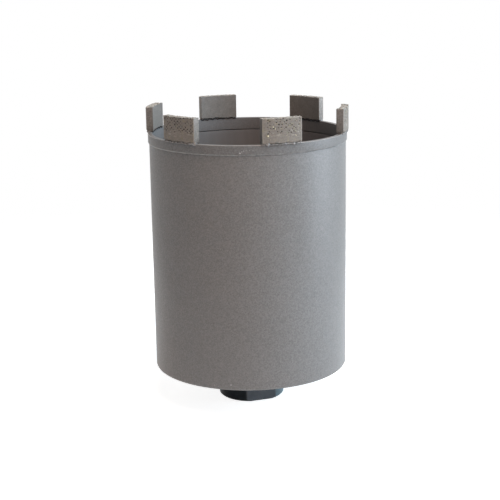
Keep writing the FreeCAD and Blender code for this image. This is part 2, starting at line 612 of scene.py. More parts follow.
def makeSinteredMetal(look):
    # the cutting segments: brown-grey powder metal, dark in the pits, bright on crumbs, olive here and there
    material, tree = newMaterial("sinteredMetal")
    place = objectPlace(tree)
    axes = split(place)
    rise = axes["Z"] - segmentLow.z
    outer = marked(tree, "outer")
    end = marked(tree, "end")
    top = marked(tree, "top")
    grain = placed(tree, sinteredGrain, {
        "Grain Size": look["grainSize"], "Contrast": blend(end, look["grainContrast"], look["endContrast"])})
    stain = remap(noiseAt(place, 2.2 * mm, 3.0), 0.56, 0.72, 0.0, look["oliveShare"]) * outer
    colour = blendColour(stain, blendColour(outer, look["inner"], look["matrix"]), look["olive"])
    cloud = remap(noiseAt(place, 3.5 * mm, 4.0, 0.6, 2.0), 0.3, 0.7, -0.5, 0.5) * look["cloudContrast"] + 1.0
    colour = scaled(colour, grain["Shade"] * cloud)

    # painted shade: the ends are lighter towards the top and darker towards the bottom, where neighbouring
    # parts shade them, and each segment's ends take their own painted shade
    climb = remap(rise, 0.0, segmentHigh.z - segmentLow.z, *look["endShade"]) * marked(tree, "shade")
    colour = scaled(colour, blend(end, 1.0, climb))

    # pale: crumbs, the top, the upright rims, and lines dragged along the outer face
    girth = calc("ARCTAN2", axes["X"], axes["Y"]) * look["dragRadius"]
    drag = noiseAt(joinAxes(girth * look["dragStretch"], axes["Z"]), 0.45 * mm)
    band = remap(abs(rise - look["dragHeight"]), 1.0 * mm, 2.5 * mm, 1.0, 0.3)
    drag = remap(drag, 0.54, 0.66, 0.0, look["dragLines"]) * (outer * band)
    pale = largest(marked(tree, "crumb"), top * look["topPale"], drag, marked(tree, "rim") * look["rimPale"])
    colour = blendColour(pale, colour, look["crumb"])

    # dark: pits, painted nearly black as a painted shade inside them, and specks on the top
    speck = remap(noiseAt(place, 1.1 * mm, 3.0, 0.5, 7.0), 0.36, 0.46, 1.0, 0.0) * top * look["speckDark"]
    pit = remap(marked(tree, "pit"), 0.15, 0.55, 0.0, look["pitDark"])
    return dressed(material, {
        "Base Color": blendColour(largest(pit, speck), colour, look["pit"]),
        "Metallic": 0.15,
        "Roughness": look["roughness"],
        "Specular IOR Level": 0.4,
        "Normal": bumpOf(grain["Height"], 0.07 * mm, 0.8),
    })


gritLook = {
    "crystal": (1.0, 0.91, 0.62, 1),
    "dull": (0.30, 0.265, 0.20, 1),
    "roughness": (0.5, 0.12),
}


def makeDiamondGrit(look):
    # synthetic diamond grit: yellow crystals, some still dull with matrix metal
    material, tree = newMaterial("diamondGrit")
    shine = marked(tree, "shine")
    return dressed(material, {
        "Base Color": blendColour(shine, look["dull"], look["crystal"]),
        "Roughness": remap(shine, 0.0, 1.0, *look["roughness"]),
        "Specular IOR Level": 0.9,
    })


seamLook = {
    "filler": (0.215, 0.198, 0.186, 1),
    "bright": (0.38, 0.36, 0.35, 1),
    "shadowAndScale": (0.035, 0.028, 0.026, 1),
    "scaleAndShadeShare": 0.85,
    "roughness": 0.5,
    "shadowInside": (58.1 * mm, 58.9 * mm),
}


def makeBrazedSeam(look):
    # the joint under each segment: light lumps outside with dark patches, partly scale and partly painted
    # shade, and a painted shadow that darkens it inside the bore, under the overhanging segment
    material, tree = newMaterial("brazedSeam")
    place = objectPlace(tree)
    axes = split(place)
    # painted shadow: dark inside the bore, for the shade under the overhanging segment
    inside = remap(reach(axes["X"], axes["Y"]), *look["shadowInside"], 1.0, 0.0)
    lumps = noiseAt(place, 1.5 * mm, 4.0, 0.6)
    dark = largest(inside, remap(lumps, 0.37, 0.44, look["scaleAndShadeShare"], 0.0))
    metal = blendColour(remap(lumps, 0.54, 0.60), look["filler"], look["bright"])
    shade = remap(noiseAt(place, 0.8 * mm, 3.0, 0.5, 4.0), 0.3, 0.7, 0.8, 1.25)
    return dressed(material, {
        "Base Color": blendColour(dark, scaled(metal, shade), look["shadowAndScale"]),
        "Metallic": 0.2,
        "Roughness": look["roughness"],
        "Specular IOR Level": 0.4,
        "Normal": bumpOf(noiseAt(place, 0.4 * mm, 4.0), 0.05 * mm, 0.8),
    })


canPaint = makeCanPaint("canPaint", canPaintLook)
ringPaint = makeCanPaint("ringPaint", {**canPaintLook, "paint": canPaintLook["ringPaint"]})
boreSteel = makeBoreSteel(boreLook)
platePaint = makePlatePaint(plateLook)
hubSteel = makeHubSteel(hubLook)
weldSteel = makeWeldSteel(weldLook)
brazedSeam = makeBrazedSeam(seamLook)
sinteredMetal = makeSinteredMetal(sinterLook)
diamondGrit = makeDiamondGrit(gritLook)
print("materials built")


# Mesh helpers

def addObject(name, data):
    thing = bpy.data.objects.new(name, data)
    bpy.context.scene.collection.objects.link(thing)
    return thing


def keepPiece(mesh, slot, *nodes):
    # a finished mesh becomes a piece that stands for its nodes
    piece = addObject(mesh.name, mesh)
    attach(piece, body)
    if nodes:
        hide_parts(*nodes)


def plainMesh(name, vertices, faces=(), **marks):
    # marks are values of the points, which materials and trees read by name
    mesh = bpy.data.meshes.new(name)
    mesh.from_pydata(vertices, [], faces)
    for mark, values in marks.items():
        mesh.attributes.new(mark, "FLOAT", "POINT").data.foreach_set("value", values)
    return mesh


def closeUp(mesh, sharpAngle, gap=tiny):
    # merges doubles, points the faces outwards and marks the sharp edges
    work = bmesh.new()
    work.from_mesh(mesh)
    bmesh.ops.remove_doubles(work, verts=work.verts, dist=gap)
    bmesh.ops.dissolve_degenerate(work, edges=work.edges, dist=gap / 10)
    bmesh.ops.recalc_face_normals(work, faces=work.faces)
    openEdges = sum(1 for edge in work.edges if not edge.is_manifold)
    work.to_mesh(mesh)
    work.free()
    mesh.polygons.foreach_set("use_smooth", [True] * len(mesh.polygons))
    mesh.set_sharp_from_angle(angle=math.radians(sharpAngle))
    mesh.update()
    print("  ", mesh.name, len(mesh.polygons), "faces,", openEdges, "open edges")
    return mesh


def roundedOutline(corners, arcSteps):
    # corners are (radius, height, rounding); returns (radius, height, edge) with edge 1 along each rounding
    points = []
    for index, (radius, height, rounding) in enumerate(corners):
        if rounding == 0:
            points.append((radius, height, 0.0))
            continue
        here = Vector((radius, height))
        back = (Vector(corners[index - 1][:2]) - here).normalized()
        ahead = (Vector(corners[(index + 1) % len(corners)][:2]) - here).normalized()
        half = back.angle(ahead) / 2
        centre = here + (back + ahead).normalized() * (rounding / math.sin(half))
        first = here + back * (rounding / math.tan(half)) - centre
        last = here + ahead * (rounding / math.tan(half)) - centre
        for step in range(arcSteps + 1):
            point = centre + first.lerp(last, step / arcSteps).normalized() * rounding
            points.append((point.x, point.y, float(0 < step < arcSteps)))
    return points


def turnedMesh(name, outline, columns, materials, insideRadius=0.0):
    # spins a closed outline round Z; faces nearer the axis than insideRadius take the second material
    rows = len(outline)
    vertices = []
    faces = []
    slots = []
    for column in range(columns):
        angle = fullTurn * column / columns
        here = column * rows
        beside = (column + 1) % columns * rows
        for row, (radius, height, edge) in enumerate(outline):
            after = (row + 1) % rows
            vertices.append((radius * math.cos(angle), radius * math.sin(angle), height))
            faces.append((here + row, beside + row, beside + after, here + after))
            slots.append(int((radius + outline[after][0]) / 2 < insideRadius))
    mesh = plainMesh(name, vertices, faces, edge=[edge for radius, height, edge in outline] * columns)
    for material in materials:
        mesh.materials.append(material)
    mesh.polygons.foreach_set("material_index", slots)
    return mesh


# Geometry Nodes helpers

def newShape(name, sizes):
    # a tree that is given a mesh or curve, the sizes whose names start with a capital letter, and a material
    named = {label: value for label, value in sizes.items() if label[0].isupper()}
    inputs = {"Geometry": "Geometry", **named, "Material": "Material"}
    return newGroup(name, "GeometryNodeTree", inputs, {"Geometry": "Geometry"})


def endShape(geometry, given):
    real = addNode(geometry.tree, "GeometryNodeRealizeInstances", {"Geometry": geometry})["Geometry"]
    inputs = {"Geometry": real, "Material": given["Material"]}
    painted = addNode(geometry.tree, "GeometryNodeSetMaterial", inputs)["Geometry"]
    return finish(geometry.tree, {"Geometry": painted})


def pointPlace(tree):
    return addNode(tree, "GeometryNodeInputPosition")["Position"]


def moved(geometry, how, value):
    # how is Position or Offset
    return addNode(geometry.tree, "GeometryNodeSetPosition", {"Geometry": geometry, how: value})["Geometry"]


def store(geometry, name, value, domain="POINT"):
    inputs = {"Geometry": geometry, "Name": name, "Value": value}
    return addNode(geometry.tree, "GeometryNodeStoreNamedAttribute", inputs, domain=domain)["Geometry"]


def stored(tree, name):
    return addNode(tree, "GeometryNodeInputNamedAttribute", {"Name": name})["Attribute"]


def growMesh(name, tree, values, carrierData=None):
    # runs a Geometry Nodes tree and keeps the result as a plain mesh
    carrier = addObject(name + "Carrier", carrierData or bpy.data.meshes.new(name + "Carrier"))
    modifier = carrier.modifiers.new("shape", "NODES")
    modifier.node_group = tree
    for item in tree.interface.items_tree:
        if item.in_out == "INPUT" and item.name in values:
            modifier[item.identifier] = values[item.name]
    graph = bpy.context.evaluated_depsgraph_get()
    evaluated = carrier.evaluated_get(graph)
    mesh = bpy.data.meshes.new_from_object(evaluated, preserve_all_data_layers=True, depsgraph=graph)
    mesh.name = name
    carrier.modifiers.remove(modifier)
    bpy.data.objects.remove(carrier)
    return mesh


# Barrel

barrel = {
    "wall": 2.0 * mm,
    "footChamfer": 0.8 * mm,
    "footSlope": 0.4 * mm,
    "seatStep": 0.5 * mm,
    "weldGroove": 0.7 * mm,
    "lapRadius": 58.55 * mm,
    "lapDepth": 1.96 * mm,
    "edgeRound": 0.18 * mm,
    "boreMargin": 0.1 * mm,    # the bore's bare steel reaches this far past the lap
    "columns": 288,
    "arcSteps": 3,
}


def buildBarrel(own):
    outer = barrelHigh.x
    bore = outer - own.wall
    seat = bore + own.seatStep
    foot = barrelLow.z
    top = barrelHigh.z
    outline = roundedOutline([
        (seat, foot + own.weldGroove, 0),
        (seat + own.weldGroove, foot, 0),
        (outer - own.footSlope, foot, own.edgeRound),
        (outer, foot + own.footChamfer, own.edgeRound * 2),
        (outer, top, own.edgeRound),
        (own.lapRadius, top, 0),
        (own.lapRadius, top - own.lapDepth, 0),
        (bore, top - own.lapDepth, own.edgeRound / 2),
        (bore, plateHigh.z, 0),
        (seat, plateHigh.z, 0),
    ], own.arcSteps)
    inside = own.lapRadius + own.boreMargin
    mesh = turnedMesh("barrel_tube", outline, own.columns, [canPaint, boreSteel], inside)
    keepPiece(closeUp(mesh, 30), "barrel_paint", "barrel")


buildBarrel(SimpleNamespace(**barrel))
print("barrel built")


# Crown ring

crownRing = {
    "bore": 57.5 * mm,
    "step": 0.65 * mm,
    "lapRadius": 58.5 * mm,
    "spigotChamfer": 0.45 * mm,
    "spigotRound": 0.1 * mm,
    "rimRound": 0.28 * mm,
    "stepRound": 0.16 * mm,
    "boreMargin": 0.15 * mm,
    "bevelRub": (0.84, 0.50),    # the bevel down to the barrel is rubbed: wear, and a painted highlight that is strongest on the -X side and least on the +X side
    "columns": 288,
    "arcSteps": 4,
}


def buildCrownRing(own):
    outer = ringHigh.x
    seat = barrelHigh.z
    outline = roundedOutline([
        (own.bore + own.spigotChamfer, ringLow.z, own.spigotRound),
        (own.lapRadius, ringLow.z, own.spigotRound),
        (own.lapRadius, seat, 0),
        (outer - own.step, seat, own.stepRound / 2),
        (outer, seat + own.step, own.stepRound),
        (outer, ringHigh.z, own.rimRound),
        (own.bore, ringHigh.z, own.rimRound),
        (own.bore, ringLow.z + own.spigotChamfer, own.spigotRound),
    ], own.arcSteps)
    mesh = turnedMesh("crown_band", outline, own.columns, [ringPaint, boreSteel], own.bore + own.boreMargin)
    # painted highlight: the bevel's rub grows towards -X, standing in for the light that falls on that side,
    # on top of its wear
    most, least = own.bevelRub
    edges = mesh.attributes["edge"].data
    for index, vertex in enumerate(mesh.vertices):
        x, y, z = vertex.co
        if seat < z < seat + own.step and x ** 2 + y ** 2 > (outer - own.step) ** 2:
            edges[index].value = most + (least - most) * ((x / outer + 1) / 2) ** 2
    keepPiece(closeUp(mesh, 30), "ring_paint", "crown_ring")


buildCrownRing(SimpleNamespace(**crownRing))
print("crown ring built")


# End plate

endPlate = {
    "hole": 18.05 * mm,
    "weldGroove": 0.7 * mm,
    "edgeChamfer": 0.4 * mm,
    "edgeRound": 0.1 * mm,
    "rimRound": 0.15 * mm,
    "columns": 224,
    "arcSteps": 3,
}


def buildEndPlate(own):
    outer = plateHigh.x
    foot = plateLow.z
    top = plateHigh.z
    outline = roundedOutline([
        (own.hole, foot, own.edgeRound),
        (outer - own.weldGroove, foot, own.edgeRound),
        (outer, foot + own.weldGroove, 0),
        (outer, top, own.rimRound),
        (own.hole + own.edgeChamfer, top, own.edgeRound),
        (own.hole, top - own.edgeChamfer, 0),
    ], own.arcSteps)
    mesh = turnedMesh("bottom_plate", outline, own.columns, [platePaint])
    keepPiece(closeUp(mesh, 30), "plate_steel", "end_plate")


buildEndPlate(SimpleNamespace(**endPlate))
print("end plate built")


# Weld beads

plateWeld = {
    "radius": 58.08 * mm,
    "height": 21.86 * mm,
    "Bead Radius": 0.72 * mm,
    "Step": 0.24 * mm,
    "Sides": 14,
    "Ripple Pitch": 1.15 * mm,
    "Ripple Height": 0.10 * mm,
    "Ripple Bow": 0.5,
    "Lump Size": 4 * mm,
    "Lump Share": 0.10,
    "Seed": 3.0,
}

hubWeld = {
    "radius": 18.55 * mm,
    "height": 27.95 * mm,
    "Bead Radius": 1.22 * mm,
    "Step": 0.22 * mm,
    "Sides": 24,
    "Ripple Pitch": 1.3 * mm,
    "Ripple Height": 0.16 * mm,
    "Ripple Bow": 0.6,
    "Lump Size": 5 * mm,
    "Lump Share": 0.10,
    "Seed": 8.0,
}


def makeBeadTree():
    # a bead that follows a curve, with crescent ripples and uneven lumps
    tree, given = newShape("weldBead", plateWeld)
    place = pointPlace(tree)
    spline = addNode(tree, "GeometryNodeSplineParameter")
    inputs = {"Curve": given["Geometry"], "Length": given["Step"]}
    path = addNode(tree, "GeometryNodeResampleCurve", inputs, mode="LENGTH")["Curve"]
    inputs = {"Resolution": given["Sides"], "Radius": given["Bead Radius"]}
    profile = addNode(tree, "GeometryNodeCurvePrimitiveCircle", inputs)["Curve"]
    lumps = noiseAt(place, given["Lump Size"], seed=given["Seed"])
    swell = (lumps - 0.5) * (given["Lump Share"] * 2.0) + 1.0
    tube = addNode(tree, "GeometryNodeCurveToMesh", {
        "Curve": store(path, "beadAlong", spline["Length"]),
        "Profile Curve": store(profile, "beadAround", spline["Factor"]),
        "Scale": swell * addNode(tree, "GeometryNodeInputRadius")["Radius"]})["Mesh"]
    across = calc("SINE", stored(tree, "beadAround") * fullTurn)
    bow = across * across * given["Ripple Bow"]
    ripple = calc("FRACT", stored(tree, "beadAlong") / given["Ripple Pitch"] + bow) ** 2.0 - 1.0
    rough = noise(place, 3.0 / given["Lump Size"], 3.0)
    height = (ripple + (rough - 1.0) * given["Lump Share"]) * given["Ripple Height"]
    normal = addNode(tree, "GeometryNodeInputNormal")["Normal"]
    return endShape(moved(tube, "Offset", scaled(normal, height)), given)


def loopCurve(name, points):
    # points are (x, y, z, thickness)
    curve = bpy.data.curves.new(name, "CURVE")
    curve.dimensions = "3D"
    spline = curve.splines.new("POLY")
    spline.points.add(len(points) - 1)
    for target, (x, y, z, thickness) in zip(spline.points, points):
        target.co = (x, y, z, 1.0)
        target.radius = thickness
    spline.use_cyclic_u = True
    return curve


def buildRoundWeld(name, node, sizes, count=240):
    angles = [fullTurn * step / count for step in range(count)]
    radius = sizes["radius"]
    points = [(radius * math.cos(angle), radius * math.sin(angle), sizes["height"], 1.0) for angle in angles]
    mesh = growMesh(name, weldBead, {**sizes, "Material": weldSteel}, loopCurve(name, points))
    keepPiece(closeUp(mesh, 60), "weld_steel", node)


weldBead = makeBeadTree()
buildRoundWeld("plate_weld_bead", "plate_weld", plateWeld)
buildRoundWeld("hub_weld_bead", "hub_weld", hubWeld)
print("plate and hub welds built")


# Drive hub

driveHub = {
    "flatReach": 18.0 * mm,
    "flatTop": 15.0 * mm,
    "endChamfer": 0.9 * mm,
    "collarChamfer": 0.6 * mm,
    "spigot": 18.0 * mm,
    "mouth": 16.25 * mm,
    "mouthFace": 0.6 * mm,
    "edgeRound": 0.18 * mm,
    "cornerSoftness": 0.10 * mm,
    "arcColumns": 28,
    "flatColumns": 20,
    "arcSteps": 3,
    "threadMajor": 15.875 * mm,
    "threadMinor": 13.911 * mm,
    "threadPitch": 25.4 / 7 * mm,
    "rowsPerTurn": 16,
}


def hubAngle(column, radius, own):
    # crowds the columns so that the edges of both flats always fall on one
    arcs = own.arcColumns
    half = 2 * (arcs + own.flatColumns)
    turn, place = divmod(column, half)
    edge = math.asin(min(1.0, own.flatReach / radius))
    if place <= arcs:
        angle = edge * place / arcs
    elif place <= half - arcs:
        angle = edge + (math.pi - 2 * edge) * (place - arcs) / (2 * own.flatColumns)
    else:
        angle = math.pi - edge * (half - place) / arcs
    return angle + math.pi * turn


def hubShell(own):
    # the outside of the hub, from the mouth of the bore round to the other mouth
    outer = hubHigh.x
    soft = own.edgeRound
    outline = roundedOutline([
        (own.mouth, hubLow.z, 0),
        (own.mouth + own.mouthFace, hubLow.z, 0),
        (outer - own.endChamfer, hubLow.z, soft),
        (outer, hubLow.z + own.endChamfer, soft),
        (outer, own.flatTop, 0),
        (outer, own.flatTop, 0),
        (outer, plateLow.z - own.collarChamfer, soft),
        (outer - own.collarChamfer, plateLow.z, soft),
        (own.spigot, plateLow.z, 0),
        (own.spigot, hubHigh.z, soft),
        (own.mouth, hubHigh.z, 0),
    ], own.arcSteps)
    columns = 4 * (own.arcColumns + own.flatColumns)
    vertices = []
    edges = []
    flats = []
    ledgeSeen = False
    for radius, height, edge in outline:
        cut = height <= own.flatTop and radius > own.flatReach and not ledgeSeen
        ledgeSeen = ledgeSeen or height == own.flatTop
        onEndFace = height == hubLow.z and radius < outer - own.endChamfer
        for column in range(columns):
            angle = fullTurn * column / columns
            if radius > own.flatReach:
                angle = hubAngle(column, radius, own)
            rim = radius
            onCorner = False
            if cut:
                # the wall is cut by the two flats with a slightly softened corner
                flat = own.flatReach / max(abs(math.sin(angle)), tiny)
                near = max(own.cornerSoftness - abs(radius - flat), 0.0) / own.cornerSoftness
                rim = min(radius, flat) - near * near * own.cornerSoftness / 4
                onCorner = abs(rim - flat) < 0.01 * mm and abs(rim - radius) < 0.06 * mm
            vertices.append((rim * math.cos(angle), rim * math.sin(angle), height))
            edges.append(max(edge, float(onCorner)))
            flats.append(float(onEndFace or rim < radius - 0.02 * mm))
    faces = []
    for low in range(0, len(vertices) - columns, columns):
        for column in range(columns):
            beside = (column + 1) % columns
            faces.append((low + column, low + beside, low + columns + beside, low + columns + column))
    return plainMesh("hubShell", vertices, faces, edge=edges, flat=flats), columns


def makeThreadTree():
    # a right-hand internal thread, rolled up from a grid whose rows run along the helix
    tree, given = newShape("internalThread", {
        "Major Radius": 16 * mm, "Minor Radius": 14 * mm, "Mouth Radius": 16.3 * mm, "Pitch": 3.6 * mm,
        "Length": 30 * mm, "Columns": 192, "Rows Per Turn": 16})
    rows = calc("CEIL", (given["Length"] / given["Pitch"] + 1.0) * given["Rows Per Turn"])
    grid = addNode(tree, "GeometryNodeMeshGrid", {
        "Size X": 1.0, "Size Y": 1.0, "Vertices X": given["Columns"] + 1.0, "Vertices Y": rows + 1.0})["Mesh"]
    axes = split(pointPlace(tree))
    turned = axes["X"] + 0.5
    lead = calc("ROUND", (axes["Y"] + 0.5) * rows) / given["Rows Per Turn"] - 1.0
    height = calc("MINIMUM", largest((lead + turned) * given["Pitch"], 0.0), given["Length"])
    # over one turn: root for 1/8, flank for 5/16, crest for 1/4, flank for 5/16
    fromCrest = abs(calc("FRACT", lead + 1.0) - 9 / 16)
    wall = blend(remap(fromCrest, 1 / 8, 7 / 16), given["Minor Radius"], given["Major Radius"])
    mouth = given["Mouth Radius"]
    radius = largest(wall, mouth - height, mouth - (given["Length"] - height))
    angle = turned * fullTurn
    rolled = joinAxes(radius * calc("COSINE", angle), radius * calc("SINE", angle), height)
    thread = store(moved(grid, "Position", rolled), "edge", remap(fromCrest, 0.12, 0.2, 1.2, 0.4))
    both = addNode(tree, "GeometryNodeJoinGeometry", {"Geometry": [given["Geometry"], thread]})["Geometry"]
    inputs = {"Geometry": both, "Distance": 2 * tiny}
    return endShape(addNode(tree, "GeometryNodeMergeByDistance", inputs)["Geometry"], given)


def buildDriveHub(own):
    shell, columns = hubShell(own)
    mesh = growMesh("threaded_hub", makeThreadTree(), {
        "Major Radius": own.threadMajor, "Minor Radius": own.threadMinor, "Mouth Radius": own.mouth,
        "Pitch": own.threadPitch, "Length": hubHigh.z - hubLow.z, "Columns": columns,
        "Rows Per Turn": own.rowsPerTurn, "Material": hubSteel}, shell)
    keepPiece(closeUp(mesh, 25, 2 * tiny), "hub_steel", "drive_hub")


buildDriveHub(SimpleNamespace(**driveHub))
print("drive hub built")


# Cutting segments

segment = {
    "Thickness": 4.5 * mm,
    "Foot": 0.5 * mm,
    "Foot Setback": 0.4 * mm,
    "Foot Inner": 57.7 * mm,
    "Foot Outer": 60.05 * mm,
    "Corner": 0.3 * mm,
    "Bevel": 0.5 * mm,
    "Grid": 0.2 * mm,
    "Relief": 0.08 * mm,
    "topRelief": 0.06 * mm,
    "Pit Across": 2.4 * mm,
    "Pit Up": 2.0 * mm,
    "Pit Depth": 0.40 * mm,
    "Smooth Foot": 5.0 * mm,
    "Grain Height": 0.07 * mm,
    "Crumble": 0.42 * mm,
    "Seam Wave": 3.6 * mm,
    # of each segment in turn from the front one: share of pits, their radius, how irregular their rows are,
    # and the painted shade of its ends, darker where less light reaches them
    "finish": [
        (0.70, 0.50 * mm, 0.60, 0.45),
        (0.55, 0.52 * mm, 0.60, 0.84),
        (0.65, 0.55 * mm, 0.60, 1.0),
        (0.60, 0.54 * mm, 0.60, 1.0),
        (0.70, 0.55 * mm, 0.55, 0.80),
        (0.80, 0.56 * mm, 0.34, 1.0),
    ],
}

footWeld = {
    # each side of the foot: radius, height above the ring, thickness, height and length of its waves
    "outside": (60.45 * mm, 0.10 * mm, 1.0, 0.16 * mm, 10.7 * mm),
    # the inside bead is a painted shadow: a dark strip for the shade under the overhanging segment
    "inside": (57.50 * mm, -0.02 * mm, 0.80, 0.26 * mm, 3.6 * mm),
    "endGap": 0.25 * mm,
    # larger lumps on the outside, by the segment's number: place across it and how much thicker the bead is
    "lumps": {1: (-8.6 * mm, 0.8), 6: (11.5 * mm, 1.0)},
    "lumpLength": 1.0 * mm,
    "pathSteps": 96,
    "Bead Radius": 0.62 * mm,
    "Step": 0.2 * mm,
    "Sides": 14,
    "Ripple Pitch": 1.1 * mm,
    "Ripple Height": 0.14 * mm,
    "Ripple Bow": 0.3,
    "Lump Size": 2.0 * mm,
    "Lump Share": 0.60,
}


def makeSegmentTree():
    # a curved block with parallel ends on a narrower foot, pitted outside, crumbled on top, its seam ragged
    tree, given = newShape("cuttingSegment", {
        **segment, "Length": 24 * mm, "Outer Radius": 61 * mm, "Low": 167 * mm, "High": 182 * mm,
        "Pit Share": 0.65, "Pit Radius": 0.5 * mm, "Pit Jitter": 0.6, "End Shade": 1.0, "Seed": 1.0})
    long, thick, grid, foot = [given[name] for name in ("Length", "Thickness", "Grid", "Foot")]
    tall = given["High"] - given["Low"]
    halfLong = long * 0.5
    counts = [calc("ROUND", side / grid) + 1.0 for side in (long, thick, tall)]
    geometry = addNode(tree, "GeometryNodeMeshCube", {
        "Size": joinAxes(long, thick, tall), "Vertices X": counts[0], "Vertices Y": counts[1],
        "Vertices Z": counts[2]})["Mesh"]
    place = pointPlace(tree)
    axes = split(place)

    # the upright edges are rounded
    plan = joinAxes(axes["X"], axes["Y"])
    half = joinAxes(halfLong - given["Corner"], thick * 0.5 - given["Corner"])
    core = vectorCalc("MINIMUM", vectorCalc("MAXIMUM", plan, scaled(half, -1.0)), half)
    out = vectorCalc("SUBTRACT", plan, core)
    outSize = split(vectorCalc("ABSOLUTE", out))
    stretch = largest(outSize["X"], outSize["Y"]) / largest(vectorCalc("LENGTH", out), 1e-9)
    rounded = split(vectorCalc("ADD", core, scaled(out, stretch)))

    # rows up to the foot's height make the foot, and the rest the block above it
    rise = axes["Z"] + tall * 0.5
    isFoot = rise < foot + grid * 0.5
    onBlock = 1.0 - isFoot
    up = remap(rise, foot + grid, tall, 0.0, tall - foot)
    height = blend(isFoot, given["Low"] + foot + up, given["Low"] + rise)
    across = rounded["X"] * blend(isFoot, 1.0, 1.0 - given["Foot Setback"] / halfLong)
    share = 0.5 - rounded["Y"] / thick
    wall = given["Outer Radius"] - given["Relief"] - largest(given["Bevel"] - up, 0.0)
    outerWall = blend(isFoot, wall, given["Foot Outer"])
    innerWall = blend(isFoot, given["Outer Radius"] - thick, given["Foot Inner"])
    radius = blend(share, innerWall, outerWall)
    depth = calc("SQRT", radius * radius - across * across)

    # rows of pits on the outer face, slanted, each with its own size and strength
    outermost = 0.98    # the last row, as a share of the thickness
    outer = (share > outermost) * onBlock
    sideways = across / given["Pit Across"]
    upwards = up / given["Pit Up"]
    start = joinAxes(given["Seed"] * 7.0, given["Seed"] * 3.0)
    cells = addNode(tree, "ShaderNodeTexVoronoi", {
        "Vector": vectorCalc("ADD", joinAxes(sideways + upwards, sideways - upwards), start), "Scale": 1.0,
        "Randomness": given["Pit Jitter"]}, voronoi_dimensions="2D")
    chance = split(cells["Color"])
    fromPit = cells["Distance"] * (reach(given["Pit Across"], given["Pit Up"]) * 0.5)
    pitRadius = given["Pit Radius"] * remap(chance["Y"], 0.0, 1.0, 0.75, 1.15)
    hollow = remap(fromPit, pitRadius * 0.5, pitRadius, 1.0, 0.0, "SMOOTHSTEP")
    present = chance["X"] < given["Pit Share"]
    aboveFoot = remap(up, given["Smooth Foot"], given["Smooth Foot"] + 0.8 * mm)
    offEnds = remap(abs(across), halfLong - 1.0 * mm, halfLong - 0.6 * mm, 1.0, 0.0)
    pit = hollow * present * (aboveFoot * offEnds * outer) * remap(chance["Z"], 0.0, 1.0, 0.36, 1.0)

    # marks for the material and for what follows
    toEnd = halfLong - abs(across)
    marks = {
        "pit": pit,
        "outer": outer,
        "rim": remap(toEnd, 0.3 * mm, 0.8 * mm, 1.0, 0.0) * outer,
        "end": toEnd < 0.05 * mm,
        # painted shade of the segment's ends
        "shade": given["End Shade"],
        "top": rise > tall - tiny,
        "up": up,
        "onBlock": onBlock,
    }
    for name, value in marks.items():
        geometry = store(geometry, name, value)
    geometry = moved(geometry, "Position", joinAxes(across, -depth, height))

    # the surface is broken up inwards only, so that it stays inside the segment's real size
    def rough(size, detail, shift):
        return noiseAt(place, size, detail, 0.6, given["Seed"] + shift)

    up = stored(tree, "up")
    onBlock = stored(tree, "onBlock")
    dig = rough(0.9 * mm, 4.0, 0.0) * given["Grain Height"] + stored(tree, "pit") * given["Pit Depth"]
    inward = scaled(addNode(tree, "GeometryNodeInputNormal")["Normal"], dig * -onBlock)
    crumbs = rough(2.0 * mm, 4.0, 11.0)
    nearTop = remap(up, tall - foot - 0.5 * mm, tall - foot)
    drop = remap(crumbs, 0.40, 0.50, 1.0, 0.0) * given["Crumble"] * nearTop
    seam = (rough(3.0 * mm, 2.0, 23.0) - 0.45) * given["Seam Wave"]
    ragged = largest(seam, -0.15 * mm) * (remap(up, 0.0, 3.0 * mm, 1.0, 0.0) * onBlock)
    geometry = moved(geometry, "Offset", vectorCalc("ADD", inward, joinAxes(0.0, 0.0, ragged - drop)))
    return endShape(store(geometry, "crumb", remap(crumbs, 0.50, 0.57) * nearTop), given)


def footPath(seam, number, shift):
    # the seam round a segment's foot where it meets the ring, facing -Y, its inside side a dark strip of
    # painted shadow; shift sets its own wavering line
    place, gain = seam["lumps"].get(number, (0.0, 0.0))
    end = (segmentHigh.x - segmentLow.x) / 2 - seam["endGap"]
    count = seam["pathSteps"]
    points = []
    for side, direction in (("outside", 1), ("inside", -1)):
        radius, rise, thickness, wave, period = seam[side]
        for step in range(count + 1):
            across = direction * end * (2 * step / count - 1)
            phase = fullTurn * across / period
            waver = math.sin(phase + shift) + 0.6 * math.sin(2.1 * phase + 2.3 * shift)
            lump = gain * math.exp(-((across - place) / seam["lumpLength"]) ** 2)
            lump = lump if side == "outside" else 0.0
            points.append((across, -math.sqrt(radius * radius - across * across),
                           segmentLow.z + rise + wave * waver, thickness * (1 + lump)))
    return points


def buildSegments(sizes, seam):
    tree = makeSegmentTree()
    meshes = []
    for index, (share, pitRadius, jitter, endShade) in enumerate(sizes["finish"]):
        number = str(index + 1)
        turn = Matrix.Rotation(fullTurn * index / len(sizes["finish"]), 4, "Z")
        mesh = growMesh("cutting_segment_" + number, tree, {
            **sizes, "Length": segmentHigh.x - segmentLow.x, "Outer Radius": -segmentLow.y,
            "Low": segmentLow.z, "High": segmentHigh.z - sizes["topRelief"],
            "Pit Share": share, "Pit Radius": pitRadius, "Pit Jitter": jitter, "End Shade": endShade,
            "Seed": 1.0 + 5.0 * index, "Material": sinteredMetal})
        mesh.transform(turn)
        keepPiece(closeUp(mesh, 38), "segment_metal", "segment_" + number)
        meshes.append(mesh)
        curve = loopCurve("footSeam", footPath(seam, index + 1, 1.3 * index + 0.4))
        bead = growMesh("foot_seam_" + number, weldBead, {
            **seam, "Seed": 2.0 + index, "Material": brazedSeam}, curve)
        bead.transform(turn)
        keepPiece(closeUp(bead, 60), "weld_steel")
    return meshes


segmentMeshes = buildSegments(segment, footWeld)
print("cutting segments built")


# Diamond grit

